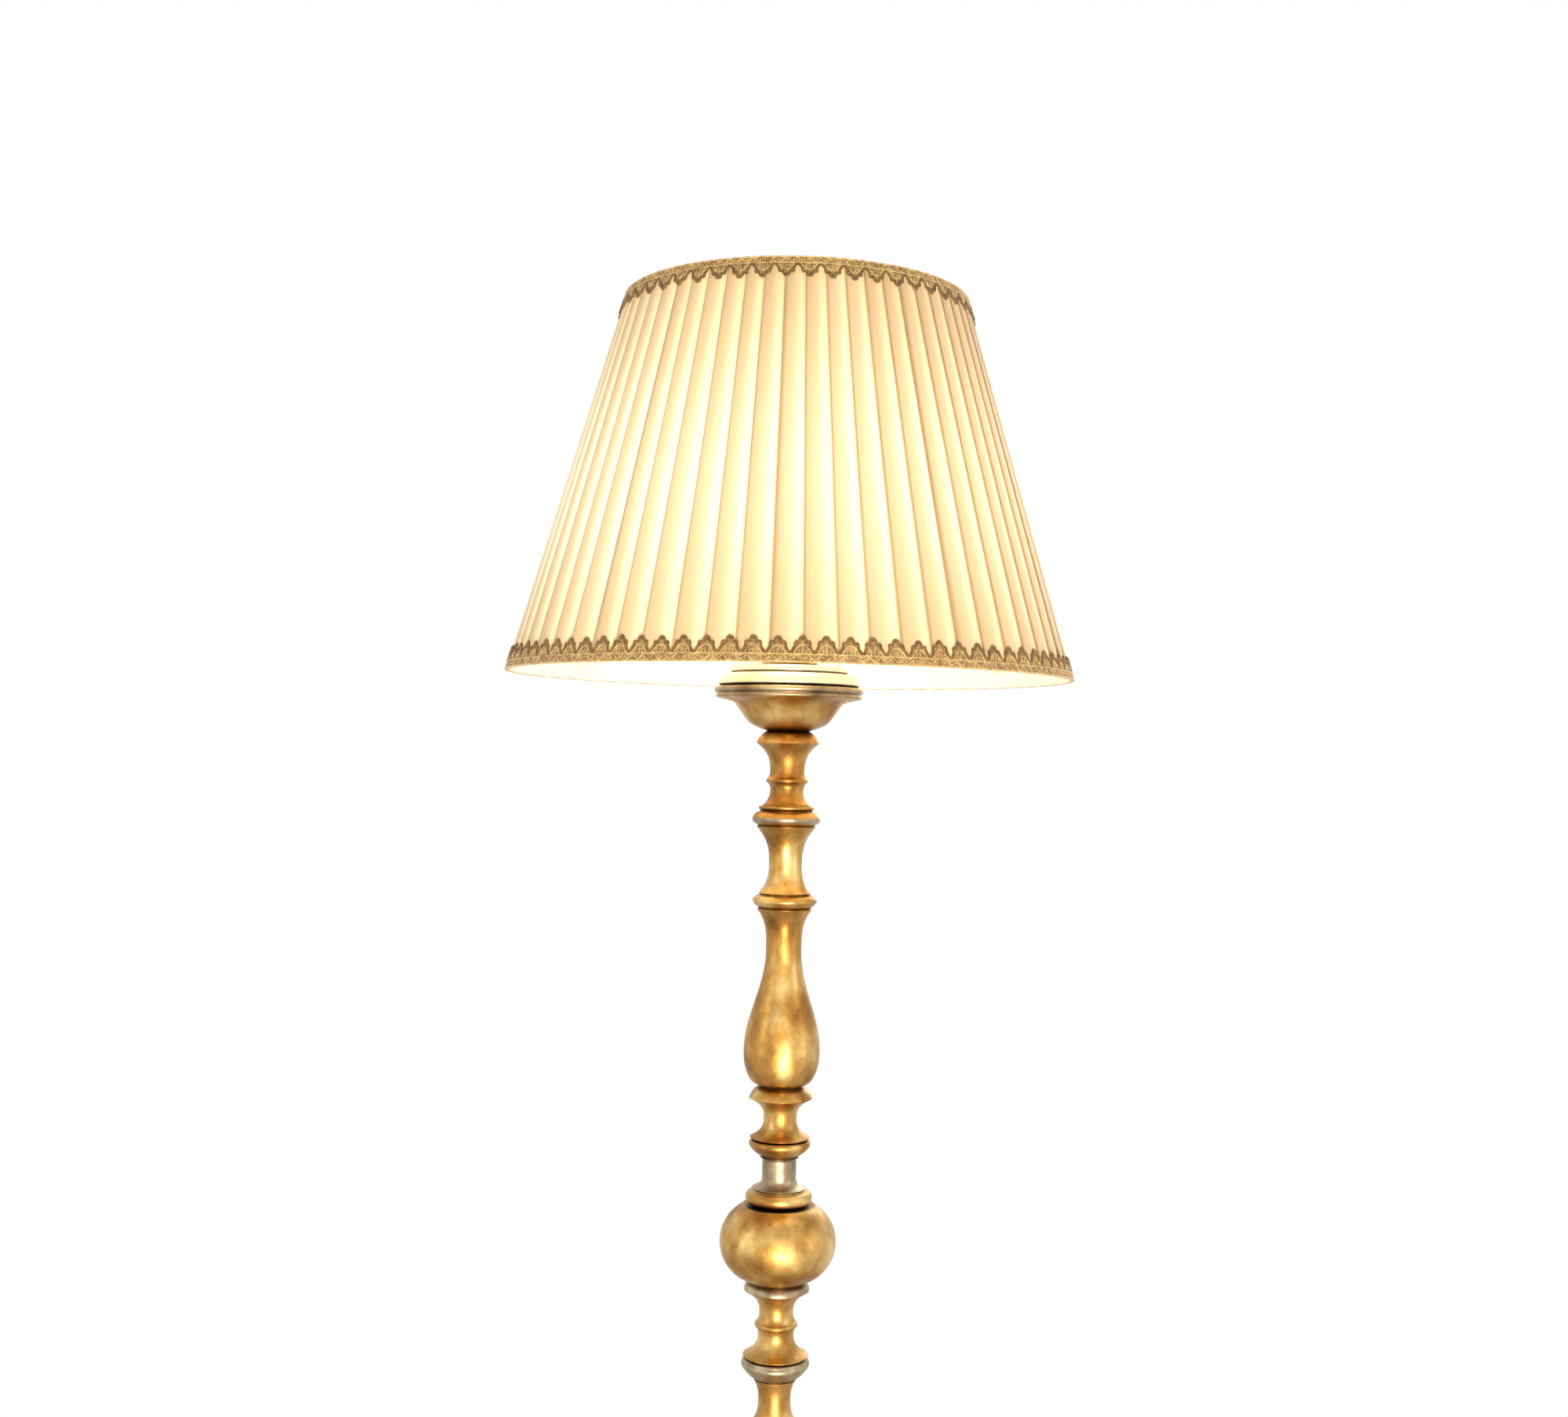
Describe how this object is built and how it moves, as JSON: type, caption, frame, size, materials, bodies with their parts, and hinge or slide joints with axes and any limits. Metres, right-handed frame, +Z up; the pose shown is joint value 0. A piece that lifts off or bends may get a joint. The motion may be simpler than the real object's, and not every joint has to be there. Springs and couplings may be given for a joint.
{
  "type": "candlestick floor lamp",
  "caption": "Floor lamp: a turned, gilded candlestick column on a round weighted base, with a lit conical pleated shade trimmed with scalloped braid.",
  "frame": {"origin": "on the floor, on the column's axis, at the centre of the base's underside", "axes": "+Z up along the column, the longest extent; -Y towards the front that the picture shows; +X to the viewer's right; the cord inlet is at the back, +Y"},
  "size_m": [0.4497, 0.4498, 1.65],
  "materials": {
    "gold_leaf": "turned wood, leaf-gilded over a red ground, rubbed and lacquered",
    "silver_leaf": "turned wood, silver leaf, toned and lacquered",
    "felt": "pressed felt",
    "ballast_iron": "as cast, painted",
    "steel": "zinc plated",
    "black_plastic": "moulded",
    "white_plastic": "moulded",
    "holder_resin": "moulded thermosetting resin",
    "porcelain": "glazed",
    "brass": "drawn sheet",
    "white_wire": "white enamel on steel wire",
    "lining_cloth": "smooth cream lining",
    "pleated_cloth": "knife-pleated silk chiffon",
    "gold_braid": "metallic-thread braid",
    "cap_metal": "pressed, threaded",
    "black_glass": "glass insulator",
    "bulb_glass": "frosted, warm white",
    "filament": "filament rods on a glass stem"
  },
  "bodies": {
    "root": {"base_plinth": "gold_leaf", "base_dome": "gold_leaf", "foot_vase": "gold_leaf", "collar_1": "gold_leaf", "spool_1": "gold_leaf", "ball_lower": "gold_leaf", "ring_lower": "gold_leaf", "collar_2": "gold_leaf", "spool_2": "gold_leaf", "vase_lower": "gold_leaf", "collar_3": "gold_leaf", "spool_3": "gold_leaf", "spool_4": "gold_leaf", "ball_upper": "gold_leaf", "ring_upper": "gold_leaf", "collar_5": "gold_leaf", "spool_5": "gold_leaf", "vase_upper": "gold_leaf", "collar_6": "gold_leaf", "spool_6": "gold_leaf", "spool_7": "gold_leaf", "drip_dish": "gold_leaf", "dish_top": "gold_leaf", "candle_cup": "gold_leaf", "base_bead": "silver_leaf", "foot_collar": "silver_leaf", "neck_lower": "silver_leaf", "collar_4": "silver_leaf", "neck_upper": "silver_leaf", "collar_7": "silver_leaf", "felt_disc": "felt", "base_weight": "ballast_iron", "weight_screws": "steel", "cord_bush": "black_plastic", "terminal_block": "white_plastic", "stem_tube": "steel", "stem_nut": "steel", "stem_washer": "steel", "inner_lead": "white_plastic", "holder_cap": "holder_resin", "holder_skirt": "holder_resin", "holder_insert": "porcelain", "holder_shell": "brass", "holder_contact": "brass"},
    "shade": {"fitter_ring": "white_wire", "shade_arms": "white_wire", "foot_wire_ring": "white_wire", "top_wire_ring": "white_wire", "frame_ribs": "white_wire", "inner_lining": "lining_cloth", "pleated_cover": "pleated_cloth", "foot_braid": "gold_braid", "top_braid": "gold_braid"},
    "ring_nut": {"shade_ring_nut": "holder_resin"},
    "bulb": {"bulb_cap": "cap_metal", "bulb_contact": "black_glass", "bulb_glass": "bulb_glass", "bulb_filament": "filament"}
  },
  "joints": [
    {"name": "shade_turn", "type": "hinge", "parent": "root", "child": "shade", "pos_m": [0, 0, 1.411], "axis": [0, 0, 1], "continuous": true},
    {"name": "ring_nut_turn", "type": "hinge", "parent": "root", "child": "ring_nut", "pos_m": [0, 0, 1.416], "axis": [0, 0, 1], "continuous": true},
    {"name": "bulb_lift", "type": "slide", "parent": "root", "child": "bulb", "axis": [0, 0, 1], "range_m": [0, 0.028]}
  ]
}
